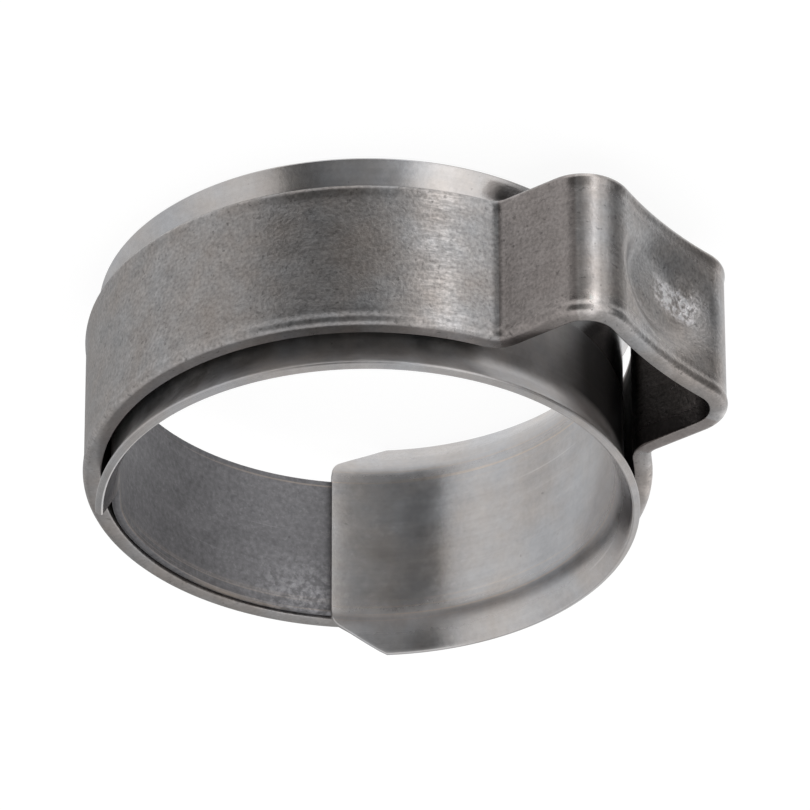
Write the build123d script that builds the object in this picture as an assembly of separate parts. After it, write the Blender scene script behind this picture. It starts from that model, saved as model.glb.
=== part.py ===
"""Ear hose clamp: a closed steel band with one crimping ear, and a thin flanged insert ring inside it.

Frame: millimetres, +Z along the axis of the hose, origin on that axis at mid-width.
The ear points along +X. The clamp lies on the lower rim of the insert ring.
Angles are in degrees, counter-clockwise from +X seen from above.
"""
from build123d import *
import os
from math import asin, atan2, cos, degrees, radians, sin, sqrt, tan

# ---- driving dimensions: band ----------------------------------------------------------------------
BAND_INNER_RADIUS = 11.28   # inside of the closed ring
BAND_THICKNESS = 0.78
BAND_WIDTH = 7.00           # along Z
BAND_EDGE_BEVEL = 0.22      # along the two long outer edges of the band

# ---- driving dimensions: ear -----------------------------------------------------------------------
EAR_INNER_WIDTH = 9.30      # between the inner faces of its two parallel legs
EAR_TOP = 15.75             # from the ring's axis to the crest of its shoulders
EAR_TOP_SAG = 0.18          # its top is drawn in by this much midway between the shoulders
EAR_SHOULDER_RADIUS = 1.15  # inside of the bends between legs and top
EAR_FOOT_RADIUS = 0.40      # outside of the bends between band and legs

# ---- driving dimensions: dimple pressed into the ear's top -----------------------------------------
DIMPLE_LENGTH = 6.20        # along Y, at its mouth
DIMPLE_WIDTH = 5.00         # along Z, at its mouth
DIMPLE_DEPTH = 0.50
DIMPLE_SLOPE = 28.0         # of its sides, from the ear's top
DIMPLE_FLOOR_ROUND = 1.20   # blend between its sides and its floor
DIMPLE_MOUTH_ROUND = 0.60   # blend between its sides and the ear's top

# ---- driving dimensions: insert strip --------------------------------------------------------------
STRIP_THICKNESS = 0.37
INSERT_HEIGHT = 10.56       # over both rims
WALL_HEIGHT = 7.40          # straight wall between the two flares
FLARE_ANGLE = 30.0          # of the flanges, from the Z direction
FLARE_RADIUS = 1.10         # bend into each flange, on the strip's inner face
TONGUE_WIDTH = 6.75
TONGUE_STEP_RADIUS = 6.00   # inside of the bend that takes the tongue out to the band

# ---- driving dimensions: overlap of the insert's two ends ------------------------------------------
TONGUE_ROOT_ANGLE = 143.4   # the flanges are sheared off here and the tongue begins
FLANGED_END_ANGLE = 224.9   # the flanged end of the strip lies over the tongue here
TONGUE_LAP_ANGLE = 30.0     # the tongue runs on this far behind the flanged end
END_CUT_LENGTH = 2.30       # the flanges of that end are cut back this far at their rims
END_CUT_RISE = 0.30         # above the straight wall, where the cut begins
END_CORNER_ROUND = 0.70     # of the corners between the end's edge and the cuts

# ---- clearances ------------------------------------------------------------------------------------
LAYER_GAP = 0.02            # between band and tongue, and between tongue and flanged wall
OVERSHOOT = 1.00            # how far a cutting shape reaches past what it cuts

# ---- derived sizes ---------------------------------------------------------------------------------
tongue_outer_radius = BAND_INNER_RADIUS - LAYER_GAP
tongue_inner_radius = tongue_outer_radius - STRIP_THICKNESS
wall_outer_radius = tongue_inner_radius - LAYER_GAP
wall_inner_radius = wall_outer_radius - STRIP_THICKNESS
wall_top = WALL_HEIGHT / 2
rim_top = INSERT_HEIGHT / 2


def polar(radius, angle):
    """The point at this radius and angle about the ring's axis."""
    return Vector(radius * cos(radians(angle)), radius * sin(radians(angle)))


# ---- ear band --------------------------------------------------------------------------------------
def band_outline(depth):
    """Closed outline of the band seen along Z, at this depth from its inner face.

    Round the ring, through the foot bend, up the leg, over the shoulder, and across the hollow top.
    """
    leg = EAR_INNER_WIDTH / 2
    foot_round = EAR_FOOT_RADIUS + BAND_THICKNESS
    foot_y = leg + foot_round
    foot_x = sqrt((BAND_INNER_RADIUS + foot_round) ** 2 - foot_y ** 2)
    foot_angle = degrees(atan2(foot_y, foot_x))

    shoulder_round = EAR_SHOULDER_RADIUS + BAND_THICKNESS
    shoulder_x = EAR_TOP - shoulder_round
    shoulder_y = leg - EAR_SHOULDER_RADIUS
    reach = (shoulder_y ** 2 + EAR_TOP_SAG ** 2) / (2 * EAR_TOP_SAG)
    hollow_x = shoulder_x + reach - EAR_TOP_SAG
    lean = degrees(asin(shoulder_y / reach))

    ring = CenterArc((0, 0), BAND_INNER_RADIUS + depth, foot_angle, 360 - 2 * foot_angle)
    hollow = CenterArc((hollow_x, 0), reach - EAR_SHOULDER_RADIUS - depth, 180 - lean, 2 * lean)
    foot = CenterArc((foot_x, foot_y), foot_round - depth, 180 + foot_angle, 90 - foot_angle)
    wall = Line((foot_x, leg + depth), (shoulder_x, leg + depth))
    shoulder = CenterArc((shoulder_x, shoulder_y), EAR_SHOULDER_RADIUS + depth, -lean, 90 + lean)
    side = Curve() + [foot, wall, shoulder]
    return make_face(Curve() + [ring, hollow, side, mirror(side, about=Plane.XZ)])


def oval_plug(floor_x, top_x, grow):
    """Solid oval with sloping sides, from the dimple's floor at floor_x out to top_x."""
    run = DIMPLE_DEPTH / tan(radians(DIMPLE_SLOPE))
    widen = (top_x - floor_x) / tan(radians(DIMPLE_SLOPE))
    half_length = DIMPLE_LENGTH / 2 - run + grow
    half_width = DIMPLE_WIDTH / 2 - run + grow
    floor_plane = Plane((floor_x, 0, 0), x_dir=(0, 1, 0), z_dir=(1, 0, 0))
    floor = floor_plane * Ellipse(half_length, half_width)
    top = floor_plane.offset(top_x - floor_x) * Ellipse(half_length + widen, half_width + widen)
    plug = loft([floor, top])
    return fillet(plug.faces().sort_by(Axis.X)[0].edges(), DIMPLE_FLOOR_ROUND)


def make_ear_band():
    """The closed band with its ear, its bevelled outer edges and the dimple in the ear's top."""
    profile = band_outline(BAND_THICKNESS) - band_outline(0)
    band = extrude(profile, amount=BAND_WIDTH / 2, both=True)
    rims = [side.outer_wire() for side in band.faces().filter_by(Axis.Z)]
    band = chamfer([edge for rim in rims for edge in rim.edges()], BAND_EDGE_BEVEL)

    outer_face = EAR_TOP - EAR_TOP_SAG
    inner_face = outer_face - BAND_THICKNESS
    fold_shift = BAND_THICKNESS * tan(radians(DIMPLE_SLOPE / 2))
    dish = oval_plug(outer_face - DIMPLE_DEPTH, outer_face + OVERSHOOT, 0)
    bulge = oval_plug(inner_face - DIMPLE_DEPTH, inner_face + BAND_THICKNESS / 4, fold_shift)
    dished = band - dish
    dished = fillet(new_edges(band, dish, combined=dished), DIMPLE_MOUTH_ROUND)
    pressed = dished + bulge
    return fillet(new_edges(dished, bulge, combined=pressed), DIMPLE_MOUTH_ROUND)


# ---- insert ring -----------------------------------------------------------------------------------
def strip_section():
    """Cross-section of the flanged strip in the XZ plane: a straight wall with a flare at each end."""
    bend_x = wall_inner_radius + FLARE_RADIUS
    end = 180 - FLARE_ANGLE
    outward = Vector(cos(radians(FLARE_ANGLE)), -sin(radians(FLARE_ANGLE)))
    along = Vector(sin(radians(FLARE_ANGLE)), cos(radians(FLARE_ANGLE)))

    def face_line(radius, rim):
        """Upper half of one face of the strip: wall, bend, and straight flange up to its rim."""
        wall = Line((bend_x - radius, 0), (bend_x - radius, wall_top))
        bend = CenterArc((bend_x, wall_top), radius, end, FLARE_ANGLE)
        return [wall, bend, Line(Vector(bend_x, wall_top) - outward * radius, rim)]

    inner_rim = Vector(bend_x, wall_top) - outward * FLARE_RADIUS
    inner_rim += along * ((rim_top - inner_rim.Y) / along.Y)
    outer_rim = inner_rim + outward * STRIP_THICKNESS
    inner = face_line(FLARE_RADIUS, inner_rim)
    outer = face_line(FLARE_RADIUS - STRIP_THICKNESS, outer_rim)
    mid = Line((wall_inner_radius, 0), (wall_outer_radius, 0))
    upper = make_face(Curve() + [*inner, *outer, Line(inner_rim, outer_rim), mid])
    return Plane.XZ * (upper + mirror(upper, about=Plane.XZ))


def end_cutter():
    """Takes the flanged end's two corners off, seen from outside with the strip running to +X."""
    corner = wall_top + END_CUT_RISE
    half = rim_top + OVERSHOOT
    reach = END_CUT_LENGTH * (half - corner) / (rim_top - corner)
    kept = Polygon((0, -corner), (reach, -half), (reach, half), (0, corner), align=None)
    kept = fillet(kept.vertices().filter_by(lambda v: v.X < reach / 2), END_CORNER_ROUND)
    removed = Pos(reach / 2 - OVERSHOOT / 2, 0) * Rectangle(reach + OVERSHOOT, 2 * half) - kept
    radial = Plane((0, 0, 0), x_dir=(0, 1, 0), z_dir=(1, 0, 0)).offset(wall_inner_radius - OVERSHOOT)
    depth = 2 * OVERSHOOT + STRIP_THICKNESS + INSERT_HEIGHT - WALL_HEIGHT
    return extrude(radial * removed, amount=depth)


def tongue_outline():
    """Outline of the tongue seen along Z, with its root at angle 0: straight, step bend, then round."""
    step_centre_radius = tongue_inner_radius - TONGUE_STEP_RADIUS
    step_x = wall_inner_radius - TONGUE_STEP_RADIUS
    step_y = sqrt(step_centre_radius ** 2 - step_x ** 2)
    step_angle = degrees(atan2(step_y, step_x))
    end_angle = FLANGED_END_ANGLE + TONGUE_LAP_ANGLE - TONGUE_ROOT_ANGLE

    def face_line(depth):
        """One face of the tongue, at this depth from its inner face."""
        root = Line((wall_inner_radius + depth, 0), (wall_inner_radius + depth, step_y))
        step = CenterArc((step_x, step_y), TONGUE_STEP_RADIUS + depth, 0, step_angle)
        run = CenterArc((0, 0), tongue_inner_radius + depth, step_angle, end_angle - step_angle)
        return [root, step, run]

    cap = Line((wall_inner_radius, 0), (wall_outer_radius, 0))
    end = Line(polar(tongue_inner_radius, end_angle), polar(tongue_outer_radius, end_angle))
    return make_face(Curve() + [*face_line(0), *face_line(STRIP_THICKNESS), cap, end])


def make_insert_ring():
    """The thin strip ring: flanged most of the way round, with a plain tongue under its flanged end."""
    sweep = 360 + TONGUE_ROOT_ANGLE - FLANGED_END_ANGLE
    flanged = revolve(strip_section(), axis=Axis.Z, revolution_arc=sweep) - end_cutter()
    tongue = extrude(tongue_outline(), amount=TONGUE_WIDTH / 2, both=True)
    return Rot(Z=FLANGED_END_ANGLE) * flanged + Rot(Z=TONGUE_ROOT_ANGLE) * tongue


# ---- build and write -------------------------------------------------------------------------------
def main():
    os.makedirs("parts", exist_ok=True)
    nodes = {"ear_band": make_ear_band(), "insert_ring": make_insert_ring()}
    for name, solid in nodes.items():
        export_step(solid, f"parts/{name}.step")
        size = solid.bounding_box().size
        print(f"{name}: {solid.volume:.1f} mm3, {size.X:.2f} x {size.Y:.2f} x {size.Z:.2f} mm")


main()
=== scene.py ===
# %% [markdown]
# # A hose clamp in Blender
#
# The real thing is two pieces of stainless strip. The outer one is a closed band with a folded ear that
# pliers squeeze to tighten it. The inner one is a thin ring with flared rims and a tongue under its open
# end. This lesson dresses the CAD model of that clamp: each strip is made again as a fine mesh with
# rolled edges, given a worn metal finish, and set on a white table.
#
# The CAD pieces are loaded first, and their boxes give the sizes that the finished meshes are built to.

# %% Load the frame
import bpy
import math
import numpy as np
from mathutils import Matrix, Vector
from types import SimpleNamespace


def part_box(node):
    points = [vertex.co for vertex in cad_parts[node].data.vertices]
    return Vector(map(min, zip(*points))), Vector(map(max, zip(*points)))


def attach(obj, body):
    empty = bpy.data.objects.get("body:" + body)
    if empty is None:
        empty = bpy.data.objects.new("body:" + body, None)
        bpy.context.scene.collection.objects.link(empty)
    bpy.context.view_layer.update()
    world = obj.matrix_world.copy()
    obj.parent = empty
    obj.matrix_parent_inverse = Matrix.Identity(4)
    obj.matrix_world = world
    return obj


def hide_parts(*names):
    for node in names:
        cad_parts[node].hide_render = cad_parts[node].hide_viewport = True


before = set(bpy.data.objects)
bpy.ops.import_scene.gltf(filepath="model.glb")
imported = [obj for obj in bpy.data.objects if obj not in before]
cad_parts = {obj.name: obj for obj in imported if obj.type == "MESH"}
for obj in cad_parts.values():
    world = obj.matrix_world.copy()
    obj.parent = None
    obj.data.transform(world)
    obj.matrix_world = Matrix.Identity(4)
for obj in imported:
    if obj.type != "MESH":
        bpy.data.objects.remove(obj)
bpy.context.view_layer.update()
MM = 0.001
print("CAD nodes:", sorted(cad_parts))

# %% [markdown]
# ## Sizes
#
# The CAD model already holds the real sizes, so as many as can be are read from its boxes. The rest are
# the few driving sizes that a box can't tell, such as the thickness of each strip. Everything is in
# millimetres here, and is turned into Blender's metres when a mesh is made.

# %% Sizes of the band
band_low, band_high = (np.array(corner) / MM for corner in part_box("ear_band"))
BAND_WIDTH = band_high[2] - band_low[2]
BAND_OUTER_RADIUS = -band_low[0]
BAND_THICKNESS = 0.78
BAND_OUTER_EDGE_ROUND = 0.28
BAND_INNER_EDGE_ROUND = 0.07
BEAD_HEIGHT = 0.045              # a bead stands this proud along each edge of the outer face
BEAD_WIDTH = 0.28                # it has its full height up to here from the edge
BEAD_END = 0.64                  # and is gone here
band_inner_radius = BAND_OUTER_RADIUS - BAND_THICKNESS
print(f"band: {BAND_WIDTH:.2f} wide, {2 * BAND_OUTER_RADIUS:.2f} across")

# %% Sizes of the ear and its dimple
EAR_TOP = band_high[0]
EAR_INNER_WIDTH = 9.34           # between the inner faces of its legs
EAR_TOP_SAG = 0.26               # its top is drawn in by this much midway between the shoulders
EAR_SHOULDER_RADIUS = 1.30       # inside of the bends between legs and top
EAR_FOOT_RADIUS = 0.65           # outside of the bends between band and legs
DIMPLE_LENGTH = 6.20
DIMPLE_WIDTH = 5.00
DIMPLE_DEPTH = 0.50
DIMPLE_SLOPE = math.radians(31)
DIMPLE_FLOOR_ROUND = 1.20
DIMPLE_MOUTH_ROUND = 1.40
DIMPLE_DOME = 0.15               # its floor swells by this much, most of all
DIMPLE_DOME_Y = 0.6              # here along Y
DIMPLE_EASY_SIDE = 0.45          # its slope is this much gentler to one side,
DIMPLE_EASY_START = 0.8          # from here along Y
DIMPLE_EASY_END = -1.6           # to here, where it is gentlest
print(f"ear: top at {EAR_TOP:.2f} from the axis")

# %% Sizes of the insert ring
ring_low, ring_high = (np.array(corner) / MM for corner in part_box("insert_ring"))
INSERT_HEIGHT = ring_high[2] - ring_low[2]
STRIP_THICKNESS = 0.37
STRIP_EDGE_ROUND = 0.10
WALL_HEIGHT = 6.94               # of the straight wall between the flares
FLARE_ANGLE = math.radians(30)
FLARE_RADIUS = 2.10
TONGUE_WIDTH = 6.75
TONGUE_STEP_RADIUS = 6.00        # the tongue bends outwards over this radius, from the wall to the band
TONGUE_ROOT_ANGLE = math.radians(143.4)
FLANGED_END_ANGLE = math.radians(224.9)
TONGUE_LAP_ANGLE = math.radians(30)
SHEAR_LENGTH = 0.02              # the flares end and the tongue begins within this length
END_CUT_LENGTH = 2.30            # the corners of the flanged end are cut back over this length
END_CORNER_HEIGHT = 4.00         # half the height left at the edge, to the corner before it is rounded
END_CORNER_ROUND = 0.70
LAYER_GAP = 0.02
tongue_inner_radius = band_inner_radius - LAYER_GAP - STRIP_THICKNESS
wall_inner_radius = tongue_inner_radius - LAYER_GAP - STRIP_THICKNESS
print(f"insert: {INSERT_HEIGHT:.2f} high, bore {2 * wall_inner_radius:.2f}")

# %% [markdown]
# ## The camera
#
# A long lens seen from well back keeps the ring's ellipse true. The clamp lies on its rim, and the camera
# looks down on it from 33 degrees with its own top turned to the bottom, so that the ear comes out at the
# right. The camera could be aimed with a constraint, but a roll of half a turn is plainer as three turned
# axes.

# %% Camera
IMAGE_SIZE = 810
SENSOR_WIDTH = 36
CAMERA_DISTANCE = 399.238
FOCAL_PIXELS = 9395.719
CAMERA_AZIMUTH = math.radians(53.4)
CAMERA_ELEVATION = math.radians(33.107)
CAMERA_ROLL = math.radians(180.036)
CAMERA_PAN = math.radians(-0.227)
CAMERA_TILT = math.radians(-0.037)
VIEW_LIMIT = 10                  # metres


def turn(first, second, angle):
    """Two perpendicular directions, turned by this angle in their own plane."""
    cosine, sine = math.cos(angle), math.sin(angle)
    return cosine * first + sine * second, cosine * second - sine * first


def make_camera():
    """The scene's camera, placed from its angles."""
    level = np.array([math.cos(CAMERA_AZIMUTH), math.sin(CAMERA_AZIMUTH), 0])
    back = math.cos(CAMERA_ELEVATION) * level + np.array([0, 0, math.sin(CAMERA_ELEVATION)])
    right = np.array([-level[1], level[0], 0])
    place = back * CAMERA_DISTANCE * MM
    right, up = turn(right, np.cross(back, right), CAMERA_ROLL)
    back, right = turn(back, right, CAMERA_PAN)
    back, up = turn(back, up, CAMERA_TILT)
    data = bpy.data.cameras.new("camera")
    data.sensor_width = SENSOR_WIDTH
    data.lens = FOCAL_PIXELS / IMAGE_SIZE * SENSOR_WIDTH
    data.clip_end = VIEW_LIMIT
    camera = bpy.data.objects.new("camera", data)
    bpy.context.collection.objects.link(camera)
    rows = [[*axes, place[i]] for i, axes in enumerate(zip(right, up, back))]
    camera.matrix_world = Matrix([*rows, [0, 0, 0, 1]])
    bpy.context.scene.camera = camera
    print(f"camera: {data.lens:.0f} mm lens at {CAMERA_DISTANCE:.0f} mm")


make_camera()
bpy.context.scene.view_settings.view_transform = "Standard"

# %% [markdown]
# ## A strip, as a mesh
#
# Both pieces were strip before they were bent, so both are made the same way. A line of stations runs
# along the strip, each with a place on its inner face and a direction outwards. Round each station goes
# one loop of points: across the outer face, over a rolled edge, back across the inner face and over the
# other edge. Joining each loop to the next gives clean squares all along the strip. A bevelled curve
# would be shorter to write, but it couldn't be pressed, flared and masked point by point.


# %% The loop round a strip
ROUND_POINTS = 4                 # on each rounded corner
RIM_POINTS = 3                   # on the flat between two corners


def strip_loop(thickness, outer_round, inner_round, across):
    """Points round a strip: share of its half width, offset from there, and depth from its inner face."""
    turns = np.radians(np.linspace(0, 90, ROUND_POINTS + 2)[1:-1])
    rim = np.linspace(thickness - outer_round, inner_round, RIM_POINTS)
    back = turns[::-1]
    edge = np.concatenate([outer_round * (np.sin(turns) - 1), 0 * rim, inner_round * (np.sin(back) - 1)])
    edge_depth = np.concatenate([thickness - outer_round * (1 - np.cos(turns)), rim,
                                 inner_round * (1 - np.cos(back))])
    share = np.linspace(-1, 1, across)
    ones = np.ones_like(edge)
    shares = np.concatenate([share, ones, -share, -ones])
    offsets = np.concatenate([-share * outer_round, edge, share * inner_round, -edge[::-1]])
    depths = np.concatenate([np.full(across, thickness), edge_depth, np.zeros(across), edge_depth[::-1]])
    return shares, offsets, depths


band_loop = strip_loop(BAND_THICKNESS, BAND_OUTER_EDGE_ROUND, BAND_INNER_EDGE_ROUND, across=72)
insert_loop = strip_loop(STRIP_THICKNESS, STRIP_EDGE_ROUND, STRIP_EDGE_ROUND, across=76)
print(f"loops: {len(band_loop[0])} points round the band's strip, {len(insert_loop[0])} round the insert's")


# %% A skin over the loops
CREASE_ANGLE = math.radians(32)  # faces that meet at more than this keep a sharp edge


def skin(name, rings, closed):
    """A smooth mesh through rings of points, joined end to end if closed and otherwise capped."""
    count, around = rings.shape[:2]
    index = np.arange(count * around).reshape(count, around)
    following = np.roll(index, -1, axis=0) if closed else index[1:]
    first = index if closed else index[:-1]
    faces = np.stack([first, np.roll(first, -1, 1), np.roll(following, -1, 1), following], -1).reshape(-1, 4)
    faces = faces.tolist()
    if not closed:
        half = around // 2
        for ring, flip in ((index[0], 1), (index[-1], -1)):
            for i in range(half - 1):
                other = (half - 2 - i) + half
                face = [ring[i], ring[(other + 1) % around], ring[other % around], ring[i + 1]]
                faces.append(face[::flip])
    mesh = bpy.data.meshes.new(name)
    mesh.from_pydata((rings.reshape(-1, 3) * MM).tolist(), [], faces)
    mesh.validate()
    piece = bpy.data.objects.new(name, mesh)
    bpy.context.collection.objects.link(piece)
    bpy.context.view_layer.objects.active = piece
    piece.select_set(True)
    bpy.ops.object.shade_smooth_by_angle(angle=CREASE_ANGLE)
    piece.select_set(False)
    print(f"{name}: {len(faces)} faces")
    return piece


# %% [markdown]
# ## The band's path
#
# Seen from above, half of the band is five stretches: round the ring, out through a tight foot bend,
# straight up the ear's leg, over its shoulder, and half way across the hollow top. Each stretch is an arc
# or a line that meets the next one smoothly. The other half is its mirror image. Stations lie closer
# where the bend is tighter.


# %% Arcs and lines
LEAST_RADIUS = 0.5               # a tighter arc gets as many stations as one of this radius


def rays_at(angles):
    """Directions in the ring's plane at these angles."""
    return np.stack([np.cos(angles), np.sin(angles)], 1)


def arc_stations(centre, radius, start, end, outwards, step):
    """Places on an arc and the directions outwards there: away from its centre for 1, towards it for -1."""
    count = max(2, round(abs(end - start) * max(radius, LEAST_RADIUS) / step))
    rays = rays_at(np.linspace(start, end, count, endpoint=False))
    return np.array(centre) + radius * rays, outwards * rays


def line_stations(start, end, outwards, step):
    """Places on a line and the direction outwards, the same at each."""
    count = max(2, round(np.linalg.norm(np.subtract(end, start)) / step))
    share = np.linspace(0, 1, count, endpoint=False)[:, None]
    places = np.array(start) * (1 - share) + np.array(end) * share
    return places, np.tile(outwards, (count, 1)).astype(float)


# %% The band's stations
RING_STEP = 0.35                 # between stations on the ring
LEG_STEP = 0.20
FOOT_STEP = 0.10
TOP_STEP = 0.08                  # on the shoulders and the top


def band_stations():
    """Places and outward directions along the band's inner face, once round from the middle of the back."""
    leg = EAR_INNER_WIDTH / 2
    foot_round = EAR_FOOT_RADIUS + BAND_THICKNESS
    foot_y = leg + foot_round
    foot_x = math.sqrt((band_inner_radius + foot_round) ** 2 - foot_y ** 2)
    foot = math.atan2(foot_y, foot_x)
    shoulder_x = EAR_TOP - EAR_SHOULDER_RADIUS - BAND_THICKNESS
    shoulder_y = leg - EAR_SHOULDER_RADIUS
    reach = (shoulder_y ** 2 + EAR_TOP_SAG ** 2) / (2 * EAR_TOP_SAG)
    lean = math.asin(shoulder_y / reach)
    hollow_x = shoulder_x + reach - EAR_TOP_SAG
    down, quarter = math.pi, math.pi / 2
    stretches = [
        arc_stations((0, 0), band_inner_radius, down, foot, 1, RING_STEP),
        arc_stations((foot_x, foot_y), foot_round, down + foot, 3 * quarter, -1, FOOT_STEP),
        line_stations((foot_x, leg), (shoulder_x, leg), (0, 1), LEG_STEP),
        arc_stations((shoulder_x, shoulder_y), EAR_SHOULDER_RADIUS, quarter, -lean, 1, TOP_STEP),
        arc_stations((hollow_x, 0), reach - EAR_SHOULDER_RADIUS, down - lean, down, -1, TOP_STEP),
    ]
    places = np.vstack([stretch[0] for stretch in stretches])
    outwards = np.vstack([stretch[1] for stretch in stretches])
    middle = [[EAR_TOP - EAR_TOP_SAG - BAND_THICKNESS, 0]]
    mirror = np.array([1, -1])
    places = np.vstack([places, middle, places[:0:-1] * mirror])
    outwards = np.vstack([outwards, [[1, 0]], outwards[:0:-1] * mirror])
    print(f"band: {len(places)} stations")
    return places, outwards


# %% [markdown]
# ## The dimple
#
# A punch leaves an oval dish in the ear's top, and the same oval stands proud inside. Its depth depends
# only on how far a point lies outside the oval floor: full on the floor, falling along a straight slope,
# and none beyond the mouth, with both corners rounded. It could be cut with a boolean, but that would
# leave ragged squares. A short formula for the depth moves the points of the mesh, and keeps the squares
# clean.


# %% Distance from an oval
OVAL_TRIES = 12                  # enough for the guess to settle
OVAL_LEAST = 0.02                # half width of the thinnest oval tried
OVAL_FLATTEST = 1e-6             # keeps a step from being divided by nothing


def beyond_oval(y, z, half_length, half_width):
    """How far a point lies outside an oval, found by growing the oval until it passes through the point."""
    grow = np.hypot(y, z) - half_width
    for _ in range(OVAL_TRIES):
        grow = np.maximum(grow, OVAL_LEAST - half_width)
        across, along = z / (half_width + grow), y / (half_length + grow)
        excess = across ** 2 + along ** 2 - 1
        slope = -2 * (across ** 2 / (half_width + grow) + along ** 2 / (half_length + grow))
        grow = grow - excess / np.minimum(slope, -OVAL_FLATTEST)
    return grow


print(f"oval 6 by 4: a point at (5, 0) lies {float(beyond_oval(5, 0, 3, 2)):.2f} outside")


# %% Depth of the dimple
def fade(value, none, full):
    """0 where the value is at or before none, 1 where it is at or past full, and a straight run between."""
    return np.clip((value - none) / (full - none), 0, 1)


def eased(distance, centre, half):
    """Distance past a corner, rounded over this half width."""
    inside = np.clip(distance - centre + half, 0, 2 * half)
    return inside ** 2 / (4 * half) + np.maximum(distance - centre - half, 0)


def dimple_depth(y, z, grow):
    """Depth of the plain dish at a point, with its oval floor grown by this much."""
    run = DIMPLE_DEPTH / math.tan(DIMPLE_SLOPE)
    corner = math.tan(DIMPLE_SLOPE / 2)
    away = beyond_oval(y, z, DIMPLE_LENGTH / 2 - run + grow, DIMPLE_WIDTH / 2 - run + grow)
    easy = DIMPLE_EASY_SIDE * fade(y, DIMPLE_EASY_START, DIMPLE_EASY_END)
    away = run - (run - away) * (1 - easy)
    fall = eased(away, 0, DIMPLE_FLOOR_ROUND * corner) - eased(away, run, DIMPLE_MOUTH_ROUND * corner)
    return DIMPLE_DEPTH - math.tan(DIMPLE_SLOPE) * fall


def punched_in(y, z, share):
    """How far the punch moves a point of the ear's top; share is 0 on its inner face and 1 on its outer."""
    fold_shift = BAND_THICKNESS * math.tan(DIMPLE_SLOPE / 2)
    plain = np.maximum(share * dimple_depth(y, z, 0) + (1 - share) * dimple_depth(y, z, fold_shift), 0)
    half_length, half_width = DIMPLE_LENGTH / 2, DIMPLE_WIDTH / 2
    dome = np.maximum(1 - ((y - DIMPLE_DOME_Y) / half_length) ** 2 - (z / half_width) ** 2, 0)
    # The ear's top is drawn in midway, but the punch's own face is straight.
    to_flat = EAR_TOP_SAG * (y / (EAR_INNER_WIDTH / 2 - EAR_SHOULDER_RADIUS)) ** 2
    return plain + plain / DIMPLE_DEPTH * (to_flat - DIMPLE_DOME * dome)


print(f"dimple: {float(dimple_depth(0, 0, 0)):.2f} deep before its floor swells")

# %% [markdown]
# ## The band's mesh and its masks
#
# Wear and painted light sit in set places on the band. Its edges are rubbed; its shoulders, a stretch beside
# each fold and the dimple's floor carry painted highlights and look different from the plain ring; the legs,
# the foot of the ear and one side of the ring carry painted shade; and its inside, behind the insert, is
# painted dark shade. A texture could be painted for that, but it would need an unwrapped mesh. Instead each
# place is a mask, a number from 0 to 1 on every point, worked out from where the point lies: how far round
# the ring, how far from an edge, how deep in the strip, and which way the strip faces there.


# %% Masks
def add_masks(piece, masks, shape):
    """Named numbers on the points of a mesh, for its material; shape is its loops by their points."""
    for name, values in masks.items():
        layer = piece.data.attributes.new(name, "FLOAT", "POINT")
        layer.data.foreach_set("value", np.broadcast_to(values, shape).astype(np.float32).ravel())
    print(f"{piece.name}: {len(masks)} masks")


def spot(value, middle, half, power=2):
    """A soft spot, 1 at its middle; a higher power gives it a flatter top and steeper sides."""
    return np.exp(-((value - middle) / half) ** power)


print(f"soft spot: {float(spot(0, 0, 1)):.2f} at its middle, {float(spot(1, 0, 1)):.2f} at its half width")


# %% The band's points
TOP_FACING = 0.9                 # the ear's top faces straight out at least this much
TOP_REACH = 1.5                  # and lies within this distance of the highest point
SHOULDER_REACH = 3.0             # the shoulders lie within this distance of it


def band_points():
    """The band's rings of points, and what its masks need to know of each point."""
    shares, offsets, depth = band_loop
    places, outwards = band_stations()
    x, y = places[:, :1], places[:, 1:]
    out_x, out_y = outwards[:, :1], outwards[:, 1:]
    z = shares * BAND_WIDTH / 2 + offsets + 0 * y
    share = depth / BAND_THICKNESS
    from_edge = BAND_WIDTH / 2 - np.abs(z)
    on_top = (out_x > TOP_FACING) & (x > EAR_TOP - TOP_REACH)
    pressed = np.where(on_top, punched_in(y, z, share), 0)
    past_bead = fade(from_edge, BEAD_WIDTH, BEAD_END)
    hollow = BEAD_HEIGHT * past_bead ** 2 * (3 - 2 * past_bead)
    out = depth - pressed - share * hollow
    return SimpleNamespace(
        rings=np.dstack([x + out_x * out, y + out_y * out, z]), y=y, z=z, share=share, from_edge=from_edge,
        turned=np.degrees(np.arctan2(y, x)), facing=np.degrees(np.arctan2(np.abs(out_y), out_x)),
        sideways=np.abs(out_y), x=x, on_top=on_top, pressed=pressed / DIMPLE_DEPTH)


# %% Where the band's finish and its painted light change
BAND_EDGE_WEAR = 0.30            # millimetres in from an edge
BAND_RIM = 0.06
ROLLED_ZONE = (1.00, 0.70)
# Painted shade on the inner face stays this far in from the edges and this deep in the strip.
DARK_FROM_EDGE = (0.20, 0.30)    # pairs: none of it at the first, all of it at the second
DARK_DEPTH = (0.125, 0)          # shares of the thickness, from the inner face
BEYOND_EAR = (25, 28)            # degrees round the ring, to either side of the ear
ON_EAR = (29, 26)
# Painted light on the band: shade in the crease at the foot of the ear and on one side of the ring,
# highlights beside the fold and on the shoulders' bend and crown, and a glint near one edge of the crown.
FOOT_LINE = (25.8, 2.2)          # soft spots: middle and half width
FOLD_BULGE = (39, 5)
FOLD_LEAST = 27
PAINTED_DARK_SIDE = (66, 17)
BEND_PAINTED_LIGHT = (66, 13)         # degrees that the strip faces away from straight out
CROWN_PAINTED_HIGHLIGHT = (46, 9)
SHOULDER_SMOOTH = (45, 34)
PAINTED_GLINT_HEIGHT = (2.75, 0.35)       # height
PUNCH_MARK_Y = (-1.05, 1.50)
PUNCH_MARK_Z = (-0.15, 0.80)
LEG_REACH = 0.88                 # the legs begin at this share of the band's inner radius
LEG_FACING = 0.9


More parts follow.
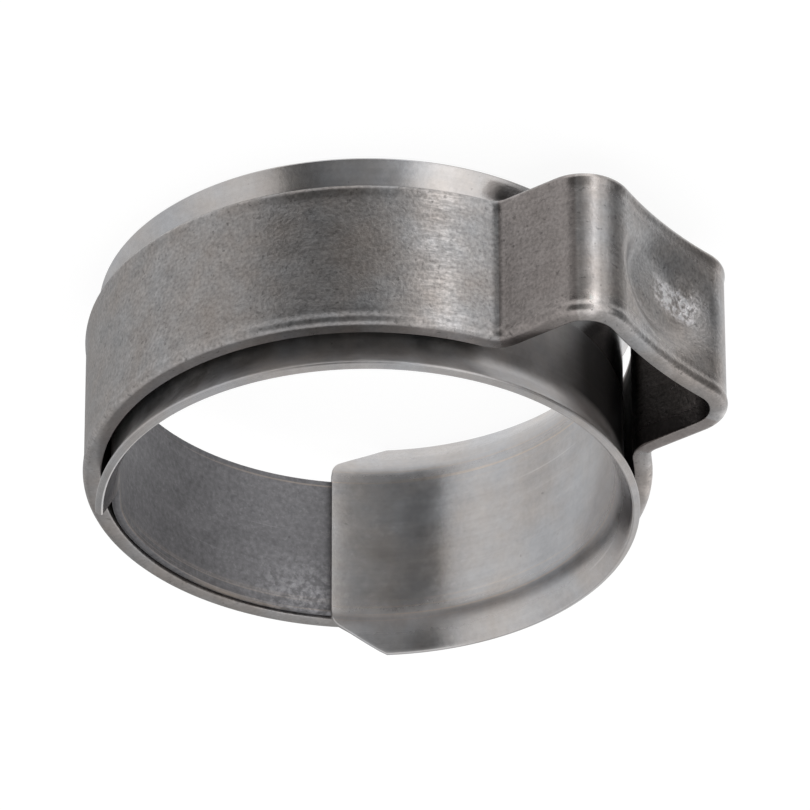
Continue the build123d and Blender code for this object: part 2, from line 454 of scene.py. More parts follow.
def band_masks(at):
    """How strongly each change of finish, painted highlight and painted shade shows at each point of the
    band.
    """
    round_ring = np.abs(at.turned)
    shoulders = (at.x > EAR_TOP - SHOULDER_REACH) * at.share
    crown_highlight = spot(at.facing, *CROWN_PAINTED_HIGHLIGHT) * shoulders
    mark = spot(at.y, *PUNCH_MARK_Y, power=4) * spot(at.z, *PUNCH_MARK_Z, power=4)
    beyond_ear = fade(round_ring, *BEYOND_EAR) * fade(at.from_edge, *DARK_FROM_EDGE)
    return {
        "edge": np.exp(-at.from_edge / BAND_EDGE_WEAR),
        "rim": fade(at.from_edge, BAND_RIM, 0),
        "rolled": fade(at.from_edge, *ROLLED_ZONE),
        # Painted shade on the inner face, where it lies behind the insert away from the ear.
        "inside": fade(at.share, *DARK_DEPTH) * beyond_ear,
        "ear": fade(round_ring, *ON_EAR),
        "leg": (at.x > band_inner_radius * LEG_REACH) & (at.sideways > LEG_FACING),
        # Painted shade in the crease of the foot bend, which is also made rougher.
        "foot": spot(round_ring, *FOOT_LINE) * at.share,
        # Painted highlight beside the fold.
        "fold": spot(round_ring, *FOLD_BULGE) * (round_ring > FOLD_LEAST) * at.share,
        # Painted shade on one side of the ring.
        "painted_dark_side": spot(at.turned, *PAINTED_DARK_SIDE) * at.share,
        # Painted highlights on the shoulders: lighter on the bend and the crown, and a glint near one edge;
        # smooth only calms the grit.
        "bend": spot(at.facing, *BEND_PAINTED_LIGHT) * shoulders,
        "smooth": spot(at.facing, *SHOULDER_SMOOTH, power=4) * shoulders,
        "shoulder": crown_highlight,
        "painted_glint": crown_highlight * spot(at.z, *PAINTED_GLINT_HEIGHT),
        # Where the punch mark gets its rough grain and a painted highlight.
        "punch_mark_and_sheen": mark * at.on_top * at.share,
        "pressed": at.pressed,
    }


# %% The ear band
def make_band():
    """The outer band: its rolled strip, its ear and the dimple."""
    points = band_points()
    piece = skin("ear_band_strip", points.rings, closed=True)
    add_masks(piece, band_masks(points), points.z.shape)
    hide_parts("ear_band")
    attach(piece, "root")
    return piece


band = make_band()

# %% [markdown]
# ## The insert ring
#
# The insert is one thin strip as well, but its cross-section changes. For three quarters of the way it
# has a straight wall and a flare at each rim. Then the flares are sheared off, and the plain middle runs
# on outwards as a tongue that lies against the band. The other end laps over the tongue with its corners
# cut back. Two meshes joined by a boolean could make that, but one strip keeps its squares whole: each
# station also says how far the strip reaches to either side.


# %% Cross-section of the insert
def section(along):
    """Outward shift, height, and outward direction on the strip's inner face, this far from mid-width."""
    reach = np.abs(along)
    bend = np.clip((reach - WALL_HEIGHT / 2) / FLARE_RADIUS, 0, FLARE_ANGLE)
    past = np.maximum(reach - WALL_HEIGHT / 2 - FLARE_RADIUS * FLARE_ANGLE, 0)
    shift = FLARE_RADIUS * (1 - np.cos(bend)) + past * math.sin(FLARE_ANGLE)
    height = np.minimum(reach, WALL_HEIGHT / 2) + FLARE_RADIUS * np.sin(bend) + past * math.cos(FLARE_ANGLE)
    return shift, height * np.sign(along), np.cos(bend), -np.sin(bend) * np.sign(along)


def reach_for(height):
    """How far along the section from mid-width this height is."""
    bend_top = WALL_HEIGHT / 2 + FLARE_RADIUS * math.sin(FLARE_ANGLE)
    in_bend = np.clip((height - WALL_HEIGHT / 2) / FLARE_RADIUS, 0, math.sin(FLARE_ANGLE))
    past = np.maximum(height - bend_top, 0) / math.cos(FLARE_ANGLE)
    return np.minimum(height, WALL_HEIGHT / 2) + FLARE_RADIUS * np.arcsin(in_bend) + past


print(f"insert: its rim is {reach_for(INSERT_HEIGHT / 2):.2f} along the strip from mid-width")


# %% The cut corners of the flanged end
def end_height(distance):
    """Half height of the flanged end at this distance from its edge."""
    slope = math.atan2(INSERT_HEIGHT / 2 - END_CORNER_HEIGHT, END_CUT_LENGTH)
    back = END_CORNER_ROUND / math.tan((math.pi / 2 + slope) / 2)
    straight = END_CORNER_HEIGHT + distance * math.tan(slope)
    inside = np.clip(END_CORNER_ROUND - distance, 0, END_CORNER_ROUND)
    round_part = END_CORNER_HEIGHT - back + np.sqrt(END_CORNER_ROUND ** 2 - inside ** 2)
    height = np.where(distance < back * math.cos(slope), round_part, straight)
    return np.minimum(height, INSERT_HEIGHT / 2)


print(f"flanged end: {2 * float(end_height(0)):.2f} high at its edge, {INSERT_HEIGHT:.2f} behind the cuts")


# %% The insert's stations
END_STATIONS = (0.02, 0.05, 0.10, 0.16, 0.24, 0.34, 0.46, 0.58, 0.70, 0.82)   # millimetres from the cut end
WALL_STATIONS = 170
WALL_STATIONS_START = 0.11       # radians from the cut end
TONGUE_STEP = 0.20


def tongue_stations():
    """Places and outward directions along the tongue's inner face, as if its root lay on the X axis."""
    step_x = wall_inner_radius - TONGUE_STEP_RADIUS
    step_y = math.sqrt((tongue_inner_radius - TONGUE_STEP_RADIUS) ** 2 - step_x ** 2)
    step_angle = math.atan2(step_y, step_x)
    end_angle = FLANGED_END_ANGLE + TONGUE_LAP_ANGLE - TONGUE_ROOT_ANGLE
    stretches = [
        line_stations((wall_inner_radius, SHEAR_LENGTH), (wall_inner_radius, step_y), (1, 0), TONGUE_STEP),
        arc_stations((step_x, step_y), TONGUE_STEP_RADIUS, 0, step_angle, 1, TONGUE_STEP),
        arc_stations((0, 0), tongue_inner_radius, step_angle, end_angle, 1, RING_STEP),
    ]
    tip = rays_at([end_angle])
    places = np.vstack([stretch[0] for stretch in stretches] + [tip * tongue_inner_radius])
    return places, np.vstack([stretch[1] for stretch in stretches] + [tip])


def insert_stations():
    """Places, outward directions and reach to either side, from the flanged end to the tongue's tip."""
    sweep = 2 * math.pi + TONGUE_ROOT_ANGLE - FLANGED_END_ANGLE
    start = np.array(END_STATIONS) / wall_inner_radius
    past_end = np.concatenate([[0], start, np.linspace(WALL_STATIONS_START, sweep, WALL_STATIONS)])
    rays = rays_at(FLANGED_END_ANGLE + past_end)
    reach = reach_for(end_height(past_end * wall_inner_radius))
    tongue, tongue_outwards = tongue_stations()
    cosine, sine = math.cos(TONGUE_ROOT_ANGLE), math.sin(TONGUE_ROOT_ANGLE)
    to_root = np.array([[cosine, sine], [-sine, cosine]])
    places = np.vstack([rays * wall_inner_radius, tongue @ to_root])
    outwards = np.vstack([rays, tongue_outwards @ to_root])
    reach = np.concatenate([reach, np.full(len(tongue), TONGUE_WIDTH / 2)])
    print(f"insert: {len(places)} stations, {len(tongue)} of them on the tongue")
    return places, outwards, reach[:, None], len(tongue)


# %% The insert's points
def insert_points():
    """The insert's rings of points, and what its masks need to know of each point."""
    shares, offsets, depth = insert_loop
    places, outwards, reach, tongue_count = insert_stations()
    along = shares * reach + offsets
    shift, height, radial, axial = section(along)
    out = shift + depth * radial
    x, y = places[:, :1], places[:, 1:]
    out_x, out_y = outwards[:, :1], outwards[:, 1:]
    return SimpleNamespace(
        rings=np.dstack([x + out_x * out, y + out_y * out, height + depth * axial]), height=height,
        along=np.abs(along), from_edge=reach - np.abs(along), turned=np.degrees(np.arctan2(y, x)),
        outer=fade(depth, STRIP_THICKNESS / 2, STRIP_THICKNESS),
        on_tongue=np.arange(len(places))[:, None] >= len(places) - tongue_count)


# %% Where the insert's finish and its painted shade change
INSERT_EDGE_WEAR = 0.10          # millimetres in from an edge
INSERT_RIM = 0.03
# Painted shade on the outer face in the ear's cavity: this stretch round the ring, under the band.
UNDER_EAR_START = (-32, -26)     # degrees round the ring
UNDER_EAR_END = (9, -4)
BAND_COVER = (0.1, 0.4)          # millimetres inside the band's edge
BORE_FADE = (0.3, -0.2)          # millimetres beyond the straight wall
WORN_PLACE = (-139, 13)          # soft spots: middle and half width
WORN_HEIGHT = (0.3, 2.3)
CREASE_LINE = (3.35, 0.50)       # millimetres along the section from mid-width
CURL_LINE = (4.00, 0.55)


def insert_masks(at):
    """How strongly each change of finish, and the painted shade in the ear's cavity, shows at each point of
    the insert.
    """
    level = np.abs(at.height)
    under_band = fade(BAND_WIDTH / 2 - level, *BAND_COVER)
    under_ear = fade(at.turned, *UNDER_EAR_START) * fade(at.turned, *UNDER_EAR_END)
    return {
        "edge": np.exp(-at.from_edge / INSERT_EDGE_WEAR),
        "rim": fade(at.from_edge, INSERT_RIM, 0),
        # Painted shade on the outer face in the ear's cavity.
        "inside": at.outer * under_ear * under_band,
        "scuffed": at.outer * (at.height > 0),
        "bore": (1 - at.outer) * fade(level - WALL_HEIGHT / 2, *BORE_FADE),
        "crease": (1 - at.outer) * spot(at.along, *CREASE_LINE),
        "curl": (1 - at.outer) * spot(at.along, *CURL_LINE),
        "tongue": at.on_tongue,
        "worn": spot(at.turned, *WORN_PLACE) * fade(at.height, *WORN_HEIGHT) * at.on_tongue,
    }


# %% The insert ring
def make_insert():
    """The inner ring: flanged strip, cut end, and tongue."""
    points = insert_points()
    piece = skin("insert_ring_strip", points.rings, closed=False)
    add_masks(piece, insert_masks(points), points.height.shape)
    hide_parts("insert_ring")
    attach(piece, "root")
    return piece


insert = make_insert()

# %% [markdown]
# ## The studio
#
# Bare metal shows what stands round it, so the light is drawn as surroundings: pale walls, one brighter
# soft box, and the dark side where the camera stands. Lamps and cards could stand there instead, but a
# world that depends on the direction only is quicker to tune and leaves nothing in the scene. The camera
# itself sees plain white.


# %% Helpers for node trees
def feed(tree, socket, value):
    """Link a value into an input, or set the input to a plain number, place or colour."""
    if isinstance(value, bpy.types.NodeSocket):
        tree.links.new(value, socket)
    else:
        socket.default_value = value


def node(tree, kind, **inputs):
    """A node in this tree, with its inputs set or linked by name."""
    made = tree.nodes.new(kind)
    for name, value in inputs.items():
        feed(tree, made.inputs[name.replace("_", " ")], value)
    return made


def math_node(tree, operation, *values):
    """The result of one sum."""
    made = tree.nodes.new("ShaderNodeMath")
    made.operation = operation
    for socket, value in zip(made.inputs, values):
        feed(tree, socket, value)
    return made.outputs[0]


def spread(tree, value, low, high, at_low=0.0, at_high=1.0):
    """The value stretched so that low becomes 0 and high becomes 1, or the two numbers given."""
    stretch = {"From_Min": low, "From_Max": high, "To_Min": at_low, "To_Max": at_high}
    return node(tree, "ShaderNodeMapRange", Value=value, **stretch).outputs[0]


def blend(tree, factor, first, second, kind="MIX"):
    """One colour laid over another; each is a socket or three numbers."""
    made = tree.nodes.new("ShaderNodeMix")
    made.data_type = "RGBA"
    made.blend_type = kind
    feed(tree, made.inputs[0], factor)
    for socket, colour in ((made.inputs[6], first), (made.inputs[7], second)):
        feed(tree, socket, (*colour, 1) if isinstance(colour, tuple) else colour)
    return made.outputs[2]


def shade(tree, tint, tone):
    """A colour made lighter or darker by a tone."""
    grey = node(tree, "ShaderNodeCombineXYZ", X=tone, Y=tone, Z=tone)
    return blend(tree, 1.0, tint, grey.outputs[0], "MULTIPLY")


def by_camera_ray(tree, for_others, for_camera, output):
    """One shader for the camera and another for all other rays, as the tree's surface."""
    camera_ray = tree.nodes.new("ShaderNodeLightPath").outputs["Is Camera Ray"]
    both = node(tree, "ShaderNodeMixShader", Fac=camera_ray)
    tree.links.new(for_others.outputs[0], both.inputs[1])
    tree.links.new(for_camera.outputs[0], both.inputs[2])
    tree.links.new(both.outputs[0], tree.nodes.new(output).inputs["Surface"])


print("node helpers: ready")

# %% The world
WHITE = (1, 1, 1, 1)
STUDIO_WALL = [                  # degrees round the studio, and how light its wall is there
    (-180, 0.60), (-160, 0.50), (-144, 0.40), (-130, 0.50), (-112, 0.88), (-70, 0.88), (-60, 0.74),
    (-53, 0.38), (-24, 0.16), (-10, 0.34), (2, 1.05), (14, 1.12), (23, 1.42), (32, 0.95), (41, 0.32),
    (52, 0.26), (66, 0.19), (80, 0.09), (86, 0.14), (93, 0.66), (106, 0.78), (121, 0.74), (140, 0.62),
    (160, 0.64), (180, 0.60),
]
WALL_RISE = 1.05                 # the wall is lighter by this factor at its top
WALL_LEVELS = (-0.30, 0.45)      # levels are the upward part of a direction, from -1 to 1
STUDIO_CEILING = 0.80
CEILING_LEVELS = (0.50, 0.85)
STUDIO_TABLE = 0.92
TABLE_LEVELS = (-0.63, -0.78)


def wall_light(tree, azimuth):
    """The grey of the studio's wall in a direction round it."""
    turns = math_node(tree, "MULTIPLY_ADD", azimuth, 1 / (2 * math.pi), 0.5)
    made = node(tree, "ShaderNodeValToRGB", Fac=turns)
    made.color_ramp.interpolation = "EASE"
    elements = made.color_ramp.elements
    while len(elements) < len(STUDIO_WALL):
        elements.new(0.5)
    for element, (degrees, grey) in zip(elements, STUDIO_WALL):
        element.position = degrees / 360 + 0.5
        element.color = (grey, grey, grey, 1)
    return made.outputs[0]


def make_world():
    """Pale surroundings by direction, and plain white for the camera."""
    world = bpy.data.worlds.new("studio")
    bpy.context.scene.world = world
    world.use_nodes = True
    tree = world.node_tree
    tree.nodes.clear()
    place = tree.nodes.new("ShaderNodeTexCoord").outputs["Generated"]
    x, y, level = node(tree, "ShaderNodeSeparateXYZ", Vector=place).outputs
    light = wall_light(tree, math_node(tree, "ARCTAN2", y, x))
    light = shade(tree, light, spread(tree, level, *WALL_LEVELS, 1.0, WALL_RISE))
    light = blend(tree, spread(tree, level, *CEILING_LEVELS), light, (STUDIO_CEILING,) * 3)
    light = blend(tree, spread(tree, level, *TABLE_LEVELS), light, (STUDIO_TABLE,) * 3)
    lit = node(tree, "ShaderNodeBackground", Color=light)
    seen = node(tree, "ShaderNodeBackground", Color=WHITE)
    by_camera_ray(tree, lit, seen, "ShaderNodeOutputWorld")
    print(f"studio: walls in {len(STUDIO_WALL)} tones, {len(tree.nodes)} nodes")


make_world()

# %% [markdown]
# ## The table
#
# The clamp lies on a white table, level with its lower rim, that catches a soft shadow. The metal's
# mirror rays pass through it and find the studio's own pale floor instead, so that the steel isn't washed
# out. To the camera it is paper that glows nearly white and takes only a faint share of the shadow.

# %% The table
TABLE_SIZE = 600
TABLE_SHADOW = 0.20              # share of the light on it that the camera sees


def make_table():
    """A white table under the rim, which the metal's reflections pass through."""
    z = ring_low[2] * MM
    half = TABLE_SIZE * MM / 2
    mesh = bpy.data.meshes.new("table")
    corners = [(-half, -half, z), (half, -half, z), (half, half, z), (-half, half, z)]
    mesh.from_pydata(corners, [], [(0, 1, 2, 3)])
    table = bpy.data.objects.new("table", mesh)
    bpy.context.collection.objects.link(table)
    table.visible_glossy = False
    material = bpy.data.materials.new("table")
    material.use_nodes = True
    tree = material.node_tree
    tree.nodes.clear()
    matt = node(tree, "ShaderNodeBsdfDiffuse", Color=WHITE)
    faint = node(tree, "ShaderNodeBsdfDiffuse", Color=(TABLE_SHADOW, TABLE_SHADOW, TABLE_SHADOW, 1))
    glow = node(tree, "ShaderNodeEmission", Color=WHITE, Strength=1 - TABLE_SHADOW / 2)
    paper = tree.nodes.new("ShaderNodeAddShader")
    tree.links.new(faint.outputs[0], paper.inputs[0])
    tree.links.new(glow.outputs[0], paper.inputs[1])
    by_camera_ray(tree, matt, paper, "ShaderNodeOutputMaterial")
    mesh.materials.append(material)
    print(f"table: {TABLE_SIZE} across, at {z / MM:.2f}")


make_table()

# %% [markdown]
# ## Shared effects
#
# Both metals need the same few effects, so each is a node group: soft mottling, the lines left by the
# rolling mill, small specks, thin scratches, and a mask with a worn, uneven border for edges rubbed bright
# and for painted highlights. They could be painted, but noise worked out from the place on the object in
# millimetres has no seam and needs no picture. The mill's lines and the scratches run round the ring
# because their noise is stretched in the ring's own plane.


# %% Helpers for effects
PEAK_DROP = 0.3                  # how far a full amount of specks or scratches lowers their level


def effect(name, **numbers):
    """An empty node group from a place and some numbers to one value, with its start and its end."""
    tree = bpy.data.node_groups.new(name, "ShaderNodeTree")
    tree.interface.new_socket("Place", in_out="INPUT", socket_type="NodeSocketVector")
    for label, value in numbers.items():
        socket = tree.interface.new_socket(label, in_out="INPUT", socket_type="NodeSocketFloat")
        socket.default_value = value
    tree.interface.new_socket("Value", in_out="OUTPUT", socket_type="NodeSocketFloat")
    return tree, tree.nodes.new("NodeGroupInput").outputs, tree.nodes.new("NodeGroupOutput").inputs["Value"]


def noise(tree, place, scale, detail, roughness):
    """Cloudy noise from 0 to 1."""
    made = node(tree, "ShaderNodeTexNoise", Vector=place, Scale=scale, Detail=detail, Roughness=roughness)
    return made.outputs[0]


def stretched(tree, place, factors):
    """A place multiplied by three factors."""
    made = tree.nodes.new("ShaderNodeVectorMath")
    made.operation = "MULTIPLY"
    feed(tree, made.inputs[0], place)
    feed(tree, made.inputs[1], factors)
    return made.outputs[0]


def peaks(tree, value, amount, level, border):
    """1 where noise stands above a level, which sinks as the amount grows, and 0 below it."""
    low = math_node(tree, "SUBTRACT", level, math_node(tree, "MULTIPLY", amount, PEAK_DROP))
    return spread(tree, value, low, math_node(tree, "ADD", low, border))


# %% The effects
NOISE_MIDDLE = 0.5
MILL_LINE_LEVELS = (0.25, 0.75)
SCRATCH_STRETCH = (0.11, 0.11, 5.5)
WEAR_AND_SHEEN_LEAST = 0.35              # the part of the mask that the noise doesn't change
WEAR_AND_SHEEN_LEVELS = (0.15, 0.75)


def make_mottle():
    """Soft clouds."""
    tree, given, end = effect("mottle", Scale=1.0, Softness=0.25)
    clouds = noise(tree, given["Place"], given["Scale"], detail=5.0, roughness=0.6)
    low = math_node(tree, "SUBTRACT", NOISE_MIDDLE, given["Softness"])
    high = math_node(tree, "ADD", NOISE_MIDDLE, given["Softness"])
    tree.links.new(spread(tree, clouds, low, high), end)
    return tree


def make_mill_lines():
    """Fine lines round the ring, broken here and there."""
    tree, given, end = effect("mill_lines", Fineness=6.0, Length=4.0)
    along = math_node(tree, "DIVIDE", 1.0, given["Length"])
    factors = node(tree, "ShaderNodeCombineXYZ", X=along, Y=along, Z=given["Fineness"])
    place = stretched(tree, given["Place"], factors.outputs[0])
    lines = noise(tree, place, scale=1.0, detail=4.0, roughness=0.65)
    tree.links.new(spread(tree, lines, *MILL_LINE_LEVELS), end)
    return tree


def make_specks():
    """Small specks: 1 in each speck and 0 between them."""
    tree, given, end = effect("specks", Scale=5.0, Amount=0.3)
    grains = noise(tree, given["Place"], given["Scale"], detail=2.0, roughness=0.5)
    tree.links.new(peaks(tree, grains, given["Amount"], level=0.78, border=0.06), end)
    return tree


def make_scratches():
    """A few long, thin scratches round the ring."""
    tree, given, end = effect("scratches", Amount=0.3)
    place = stretched(tree, given["Place"], SCRATCH_STRETCH)
    streaks = noise(tree, place, scale=1.0, detail=1.0, roughness=0.4)
    tree.links.new(peaks(tree, streaks, given["Amount"], level=0.82, border=0.03), end)
    return tree


def make_wear_and_sheen():
    """A mask with a worn, uneven border, for rubbed edges and for painted highlights."""
    tree, given, end = effect("wear_and_sheen", Edge=0.0, Scale=2.5)
    clouds = noise(tree, given["Place"], given["Scale"], detail=4.0, roughness=0.6)
    uneven = math_node(tree, "MULTIPLY", given["Edge"], math_node(tree, "ADD", clouds, WEAR_AND_SHEEN_LEAST))
    tree.links.new(spread(tree, uneven, *WEAR_AND_SHEEN_LEVELS), end)
    return tree


mottle, mill_lines, specks = make_mottle(), make_mill_lines(), make_specks()
scratches, wear_and_sheen = make_scratches(), make_wear_and_sheen()
print("effects:", ", ".join(group.name for group in (mottle, mill_lines, specks, scratches, wear_and_sheen)))


# %% Helpers for metals
def use(tree, group, place, **numbers):
    """The value of an effect at this place."""
    made = tree.nodes.new("ShaderNodeGroup")
    made.node_tree = group
    for name, value in {"Place": place, **numbers}.items():
        feed(tree, made.inputs[name], value)
    return made.outputs["Value"]


def mask(tree, name):
    """A mask that was stored on the mesh."""
    made = tree.nodes.new("ShaderNodeAttribute")
    made.attribute_name = name
    return made.outputs["Fac"]


def new_metal(name):
    """A metal material: its tree, its shader, and the place on the object in millimetres."""
    material = bpy.data.materials.new(name)
    material.use_nodes = True
    tree = material.node_tree
    shader = tree.nodes["Principled BSDF"]
    shader.inputs["Metallic"].default_value = 1
    place = tree.nodes.new("ShaderNodeTexCoord").outputs["Object"]
    return material, tree, shader, stretched(tree, place, (1 / MM, 1 / MM, 1 / MM))


def both_of(tree, first, second):
    """Where one mask and another lie over each other."""
    return math_node(tree, "MULTIPLY", first, second)


def worked(tree, start, changes, effects):
    """A number times one factor for each change: its pair's first where absent, its second where full.

    A change is named for one of the effects given, or else for a mask on the mesh.
    """
    number = start
    for name, (none, full) in changes.items():
        value = effects[name] if name in effects else mask(tree, name)
        factor = math_node(tree, "MULTIPLY_ADD", value, full - none, none)
        number = math_node(tree, "MULTIPLY", number, factor)
    return number


def roughen(tree, shader, height, depth):
    """Fine relief on the surface, this many millimetres deep."""
    bump = node(tree, "ShaderNodeBump", Height=height, Distance=depth * MM, Strength=1.0)
    tree.links.new(bump.outputs[0], shader.inputs["Normal"])


print("metal helpers: ready")

# %% [markdown]
# ## The band's steel
#
# The band has been annealed, bent and handled, so it is a dull satin with warm brown and blue-grey
# clouds. Its edges are rubbed bright. The ear's shoulders carry a painted highlight, and a painted
# highlight beside the fold is broken by brighter lines. One side of the ring and the foot of the ear get
# painted shade, the foot is also rougher, the inside behind the insert is painted dark shade, and the
# legs get a darker, warmer painted shade. The punch has left the bottom of the dimple rough, and a
# painted highlight lies over it. One colour with a lower or higher roughness would look like plastic, so
# many weak effects are multiplied in turn, and each is written as a pair of factors that can be changed
# by itself.

# %% The band's colours and factors
BAND_BROWN, BAND_BLUE = (0.392, 0.358, 0.337), (0.370, 0.367, 0.372)
# The legs' painted shade, a darker and warmer brown, and how much of it covers them.
LEG_PAINTED_SHADE, LEG_SHADE_COVER = (0.265, 0.238, 0.228), 0.85
# Neutral grey under the painted highlight on the punch mark.
PUNCH_SHEEN_GREY = (0.365, 0.360, 0.372)
# Some of these tones are painted light: highlights on the shoulders' bend and crown, beside the fold and on
# the punch mark, and shade on one side of the ring, in the crease at the foot of the ear and on the inside
# behind the insert.
BAND_TONES = {                   # pairs of factors: where the effect is absent, and where it is full
    "patches": (0.85, 1.13), "clouds": (0.94, 1.05), "grit": (0.73, 1.30), "lines": (0.92, 1.08),
    "dots": (1, 0.66), "bright": (1, 1.10), "burnish": (1, 1.80), "bend": (1, 1.40), "polish": (1, 1.12),
    "dashes": (1, 1.55), "painted_glint": (1, 1.55), "foot": (1, 0.80), "painted_dark_side": (1, 0.74), "punch_mark_and_sheen": (1, 3.00),
    "rim": (1, 0.82), "inside": (1, 0.15),
}
BAND_ROUGHNESS = 0.365
BAND_ROUGHENED = {"patches": (0.88, 1.14), "ear": (1, 0.80), "rolled": (1, 0.80), "inside": (1, 2.2),
                  "foot": (1, 1.35)}
BAND_RELIEF_DEPTH = 0.008        # millimetres
BAND_RELIEF = {"pressed": (1, 1.4), "rolled": (1, 0.6)}
CALM_GRIT, CALM_COVER = 0.45, 0.6     # rims and shoulders draw the grit to this level, by this share
DASH_LEVELS = (0.35, 0.70)
LINES_IN_RELIEF = 0.5
PUNCH_IN_RELIEF = 2.0
print(f"band steel: {len(BAND_TONES)} tones")


# %% Band steel
def band_effects(tree, place):
    """The band's noise and its masks with uneven borders, by name."""
    calm = math_node(tree, "MAXIMUM", mask(tree, "rim"), mask(tree, "smooth"))
    grit = use(tree, mottle, place, Scale=6.5, Softness=0.20)
    to_calm = math_node(tree, "SUBTRACT", CALM_GRIT, grit)
    calm = math_node(tree, "MULTIPLY", calm, CALM_COVER)
    dashes = spread(tree, use(tree, mill_lines, place, Fineness=7.0, Length=0.7), *DASH_LEVELS)
    mark = use(tree, wear_and_sheen, place, Edge=mask(tree, "punch_mark_and_sheen"), Scale=2.0)
    scars = use(tree, mottle, place, Scale=3.4, Softness=0.10)
    return {
        "clouds": use(tree, mottle, place, Scale=0.34, Softness=0.16),
        "patches": use(tree, mottle, place, Scale=0.9, Softness=0.25),
        "grit": math_node(tree, "MULTIPLY_ADD", to_calm, calm, grit),
        "lines": use(tree, mill_lines, place, Fineness=3.4, Length=1.1),
        "dots": use(tree, specks, place, Scale=4.0, Amount=0.42),
        "bright": use(tree, wear_and_sheen, place, Edge=mask(tree, "edge")),
        # Painted highlights with uneven borders on the shoulders and beside the fold; the mill dashes are
        # brighter only inside the one beside the fold.
        "burnish": use(tree, wear_and_sheen, place, Edge=mask(tree, "shoulder"), Scale=1.2),
        "polish": use(tree, wear_and_sheen, place, Edge=mask(tree, "fold"), Scale=0.9),
        "dashes": both_of(tree, mask(tree, "fold"), dashes),
        # The punch mark's rough grain, with a painted highlight on it.
        "punch_mark_and_sheen": both_of(tree, mark, scars),
    }


def band_steel():
    """Satin steel with clouds, specks, rubbed edges, painted highlights, and painted shade on one side and
    inside.
    """
    material, tree, shader, place = new_metal("band_steel")
    effects = band_effects(tree, place)
    tint = blend(tree, effects["clouds"], BAND_BROWN, BAND_BLUE)
    # Painted shade on the legs: a darker, warmer brown.
    tint = blend(tree, math_node(tree, "MULTIPLY", mask(tree, "leg"), LEG_SHADE_COVER), tint, LEG_PAINTED_SHADE)
    # The punch mark turns to a neutral grey under its painted highlight.
    tint = blend(tree, effects["punch_mark_and_sheen"], tint, PUNCH_SHEEN_GREY)
    tone = worked(tree, 1.0, BAND_TONES, effects)
    tree.links.new(shade(tree, tint, tone), shader.inputs["Base Color"])
    tree.links.new(worked(tree, BAND_ROUGHNESS, BAND_ROUGHENED, effects), shader.inputs["Roughness"])
    lines = math_node(tree, "MULTIPLY", effects["lines"], LINES_IN_RELIEF)
    relief = worked(tree, math_node(tree, "ADD", effects["grit"], lines), BAND_RELIEF, effects)
    relief = math_node(tree, "MULTIPLY_ADD", effects["punch_mark_and_sheen"], PUNCH_IN_RELIEF, relief)
    roughen(tree, shader, relief, BAND_RELIEF_DEPTH)
    print(f"band steel: {len(tree.nodes)} nodes")
    return material


band.data.materials.append(band_steel())

# %% [markdown]
# ## The insert's steel
#
# The insert is thinner strip with a brighter, smoother skin. Its lines run round the ring, with a few
# light scratches among them and coppery scrapes by the crease of each flare. The flares' curl and the
# outer face are duller. The tongue was never polished by the tool, so it stays dull, bluish and speckled,
# and is worn light beside the end that laps over it. It is one strip, so it has one material, and masks
# tell its zones apart.

# %% The insert's colours and factors
INSERT_WARM, INSERT_COOL = (0.60, 0.563, 0.538), (0.585, 0.588, 0.605)
TONGUE_DARK, TONGUE_LIGHT = (0.235, 0.232, 0.245), (0.345, 0.34, 0.355)
TONGUE_GRIT, TONGUE_GRIT_COVER = (0.47, 0.465, 0.48), 0.7
TONGUE_FLECK = (0.46, 0.455, 0.47)
SCRAPE_COPPER = (0.74, 0.64, 0.56)
STREAK_LEVELS = (0.58, 0.80)
# The tone for the outer face in the ear's cavity is painted shade.
INSERT_TONES = {
    "patches": (0.90, 1.07), "lines": (0.93, 1.06), "fine_lines": (0.97, 1.03), "grit": (0.93, 1.06),
    "dots": (1, 0.72), "bright": (1, 1.04), "scores": (1, 1.16), "worn_specks": (1, 1.7),
    "tongue": (1, 0.80), "rim": (1, 0.68), "inside": (1, 0.15),
}
INSERT_ROUGHNESS = 0.19
INSERT_ROUGHENED = {"patches": (0.85, 1.20), "bore": (1, 1.12), "curl": (1, 1.9), "scuffed": (1, 2.2),
                    "tongue": (1, 2.6)}
INSERT_RELIEF_DEPTH = 0.003      # millimetres
INSERT_RELIEF = {"tongue": (1, 4.0)}
INSERT_LINES_IN_RELIEF, INSERT_GRIT_IN_RELIEF = 0.3, 0.5
print(f"insert steel: {len(INSERT_TONES)} tones")


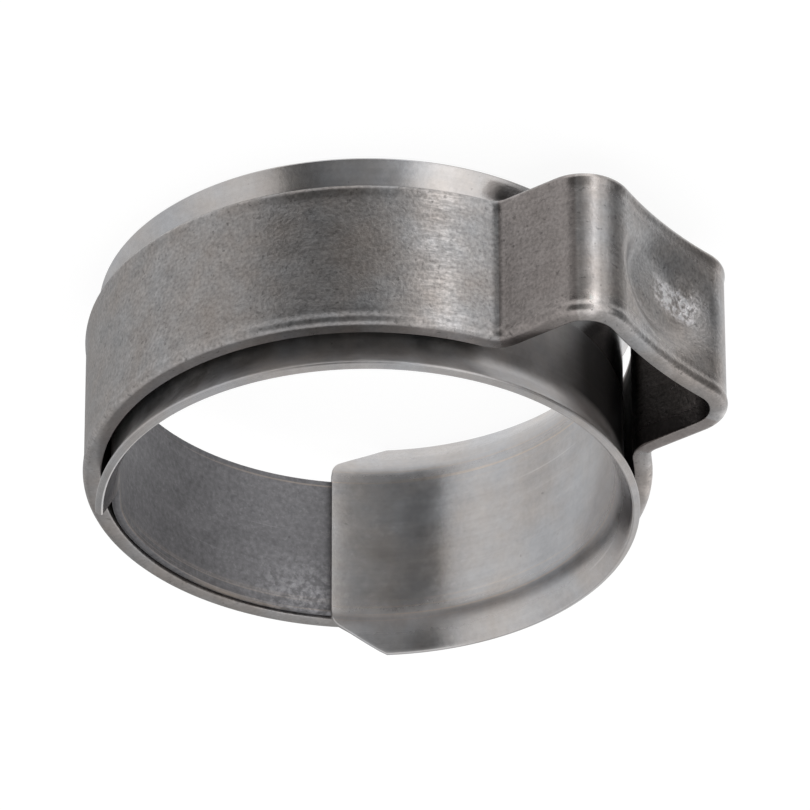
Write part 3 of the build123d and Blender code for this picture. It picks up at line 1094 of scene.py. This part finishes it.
# %% Insert steel
def insert_effects(tree, place):
    """The insert's noise, by name."""
    streaks = spread(tree, use(tree, mill_lines, place, Fineness=8.0, Length=24.0), *STREAK_LEVELS)
    worn = use(tree, mottle, place, Scale=3.4, Softness=0.08)
    return {
        "clouds": use(tree, mottle, place, Scale=0.26, Softness=0.14),
        "patches": use(tree, mottle, place, Scale=0.9, Softness=0.25),
        "grit": use(tree, mottle, place, Scale=4.5, Softness=0.25),
        "lines": use(tree, mill_lines, place, Fineness=2.2, Length=14.0),
        "fine_lines": use(tree, mill_lines, place, Fineness=9.0, Length=8.0),
        "dots": use(tree, specks, place, Scale=2.6, Amount=0.16),
        "flecks": use(tree, specks, place, Scale=6.0, Amount=0.62),
        "scores": use(tree, scratches, place, Amount=0.30),
        "worn_specks": both_of(tree, mask(tree, "worn"), worn),
        "bright": use(tree, wear_and_sheen, place, Edge=mask(tree, "edge")),
        "scrape": both_of(tree, mask(tree, "crease"), streaks),
    }


def tongue_tint(tree, effects):
    """The tongue's dull blue-grey, with its grit and flecks."""
    dull = blend(tree, effects["patches"], TONGUE_DARK, TONGUE_LIGHT)
    dull = blend(tree, math_node(tree, "MULTIPLY", effects["grit"], TONGUE_GRIT_COVER), dull, TONGUE_GRIT)
    return blend(tree, both_of(tree, effects["flecks"], effects["patches"]), dull, TONGUE_FLECK)


def insert_steel():
    """Bright rolled steel with lines and scratches, a dull tongue, and painted shade in the ear's cavity."""
    material, tree, shader, place = new_metal("insert_steel")
    effects = insert_effects(tree, place)
    tint = blend(tree, effects["clouds"], INSERT_WARM, INSERT_COOL)
    tint = blend(tree, mask(tree, "tongue"), tint, tongue_tint(tree, effects))
    tint = blend(tree, effects["scrape"], tint, SCRAPE_COPPER)
    tone = worked(tree, 1.0, INSERT_TONES, effects)
    tree.links.new(shade(tree, tint, tone), shader.inputs["Base Color"])
    tree.links.new(worked(tree, INSERT_ROUGHNESS, INSERT_ROUGHENED, effects), shader.inputs["Roughness"])
    grit = math_node(tree, "MULTIPLY", effects["grit"], INSERT_GRIT_IN_RELIEF)
    relief = math_node(tree, "MULTIPLY_ADD", effects["lines"], INSERT_LINES_IN_RELIEF, grit)
    roughen(tree, shader, worked(tree, relief, INSERT_RELIEF, effects), INSERT_RELIEF_DEPTH)
    print(f"insert steel: {len(tree.nodes)} nodes")
    return material


insert.data.materials.append(insert_steel())
